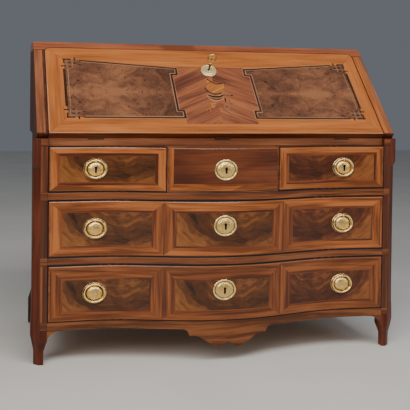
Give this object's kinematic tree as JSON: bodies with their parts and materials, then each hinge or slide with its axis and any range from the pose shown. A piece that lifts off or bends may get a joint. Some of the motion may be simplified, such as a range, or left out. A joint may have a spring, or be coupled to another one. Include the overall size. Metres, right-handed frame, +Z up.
{
  "type": "slant-front bureau",
  "caption": "Slant-front bureau with a serpentine front, hinged fall over a pigeonhole interior, small and long drawers, shaped apron, canted posts and brass ring pulls.",
  "frame": {"origin": "on the floor, under the middle of the bureau's bounding box", "axes": "+X along the bureau's width to the right of someone facing it, +Y from the drawer fronts to the back, +Z up"},
  "size_m": [1.2216, 0.6012, 1.0235],
  "materials": {
    "dark_walnut": "varnished",
    "banded_walnut": "varnished veneer",
    "fall_veneer": "varnished veneer",
    "pine": "bare",
    "brass": "stamped, lacquered",
    "steel": "dull"
  },
  "bodies": {
    "carcass": {"apron": "dark_walnut", "back_panel": "pine", "back_post_left": "dark_walnut", "back_post_right": "dark_walnut", "bottom_board": "pine", "divider_left": "pine", "divider_right": "pine", "dummy_escutcheon": "brass", "dummy_front": "banded_walnut", "dust_board_lower": "pine", "dust_board_upper": "pine", "front_post_left": "dark_walnut", "front_post_right": "dark_walnut", "gradin": "banded_walnut", "hinge_left_carcass": "brass", "hinge_middle_carcass": "brass", "hinge_right_carcass": "brass", "rail_lower": "dark_walnut", "rail_top": "dark_walnut", "rail_upper": "dark_walnut", "side_left": "dark_walnut", "side_right": "dark_walnut", "top_board": "dark_walnut", "writing_bed": "dark_walnut"},
    "fall": {"fall_panel": "fall_veneer", "fall_lock": "steel", "fall_escutcheon": "brass", "hinge_left_fall": "brass", "hinge_middle_fall": "brass", "hinge_right_fall": "brass"},
    "fall_bolt": {"fall_bolt": "steel"},
    "fall_key": {"fall_key": "brass"},
    "small_drawer_left": {"small_drawer_left_front": "banded_walnut", "small_drawer_left_tray": "pine", "small_drawer_left_lock": "steel", "small_drawer_left_plate": "brass"},
    "small_drawer_left_ring": {"small_drawer_left_ring": "brass"},
    "small_drawer_right": {"small_drawer_right_front": "banded_walnut", "small_drawer_right_tray": "pine", "small_drawer_right_lock": "steel", "small_drawer_right_plate": "brass"},
    "small_drawer_right_ring": {"small_drawer_right_ring": "brass"},
    "middle_drawer": {"middle_drawer_front": "banded_walnut", "middle_drawer_tray": "pine", "middle_drawer_lock": "steel", "middle_drawer_escutcheon": "brass", "middle_drawer_plate_left": "brass", "middle_drawer_plate_right": "brass"},
    "middle_drawer_ring_left": {"middle_drawer_ring_left": "brass"},
    "middle_drawer_ring_right": {"middle_drawer_ring_right": "brass"},
    "bottom_drawer": {"bottom_drawer_front": "banded_walnut", "bottom_drawer_tray": "pine", "bottom_drawer_lock": "steel", "bottom_drawer_escutcheon": "brass", "bottom_drawer_plate_left": "brass", "bottom_drawer_plate_right": "brass"},
    "bottom_drawer_ring_left": {"bottom_drawer_ring_left": "brass"},
    "bottom_drawer_ring_right": {"bottom_drawer_ring_right": "brass"},
    "inner_drawer_left": {"inner_drawer_left": "banded_walnut"},
    "inner_drawer_right": {"inner_drawer_right": "banded_walnut"}
  },
  "joints": [
    {"name": "fall_hinge", "type": "hinge", "parent": "carcass", "child": "fall", "pos_m": [0, -0.2132, 0.7086], "axis": [1, 0, 0], "range_deg": [0, 134.6]},
    {"name": "fall_key_turn", "type": "hinge", "parent": "fall", "child": "fall_key", "pos_m": [0, -0.02364, 0.93162], "axis": [0, -0.7111, 0.7031], "range_deg": [0, 180]},
    {"name": "fall_bolt_slide", "type": "slide", "parent": "fall", "child": "fall_bolt", "axis": [0, 0.7031, 0.7111], "range_m": [0, 0.012]},
    {"name": "small_drawer_left_slide", "type": "slide", "parent": "carcass", "child": "small_drawer_left", "axis": [0, -1, 0], "range_m": [0, 0.3]},
    {"name": "small_drawer_right_slide", "type": "slide", "parent": "carcass", "child": "small_drawer_right", "axis": [0, -1, 0], "range_m": [0, 0.3]},
    {"name": "middle_drawer_slide", "type": "slide", "parent": "carcass", "child": "middle_drawer", "axis": [0, -1, 0], "range_m": [0, 0.36]},
    {"name": "bottom_drawer_slide", "type": "slide", "parent": "carcass", "child": "bottom_drawer", "axis": [0, -1, 0], "range_m": [0, 0.36]},
    {"name": "inner_drawer_left_slide", "type": "slide", "parent": "carcass", "child": "inner_drawer_left", "axis": [0, -1, 0], "range_m": [0, 0.12]},
    {"name": "inner_drawer_right_slide", "type": "slide", "parent": "carcass", "child": "inner_drawer_right", "axis": [0, -1, 0], "range_m": [0, 0.12]},
    {"name": "small_drawer_left_ring_swing", "type": "hinge", "parent": "small_drawer_left", "child": "small_drawer_left_ring", "pos_m": [-0.41402, -0.23537, 0.64058], "axis": [-1, 0, 0], "range_deg": [0, 85]},
    {"name": "small_drawer_right_ring_swing", "type": "hinge", "parent": "small_drawer_right", "child": "small_drawer_right_ring", "pos_m": [0.41402, -0.23537, 0.64058], "axis": [-1, 0, 0], "range_deg": [0, 85]},
    {"name": "middle_drawer_ring_left_swing", "type": "hinge", "parent": "middle_drawer", "child": "middle_drawer_ring_left", "pos_m": [-0.41402, -0.23537, 0.45407], "axis": [-1, 0, 0], "range_deg": [0, 85]},
    {"name": "middle_drawer_ring_right_swing", "type": "hinge", "parent": "middle_drawer", "child": "middle_drawer_ring_right", "pos_m": [0.41402, -0.23537, 0.45407], "axis": [-1, 0, 0], "range_deg": [0, 85]},
    {"name": "bottom_drawer_ring_left_swing", "type": "hinge", "parent": "bottom_drawer", "child": "bottom_drawer_ring_left", "pos_m": [-0.41402, -0.23537, 0.25139], "axis": [-1, 0, 0], "range_deg": [0, 85]},
    {"name": "bottom_drawer_ring_right_swing", "type": "hinge", "parent": "bottom_drawer", "child": "bottom_drawer_ring_right", "pos_m": [0.41402, -0.23537, 0.25139], "axis": [-1, 0, 0], "range_deg": [0, 85]}
  ],
  "couplings": [
    {"joint": "fall_key_turn", "follows": "fall_bolt_slide", "rad_per_m": 261.79}
  ]
}
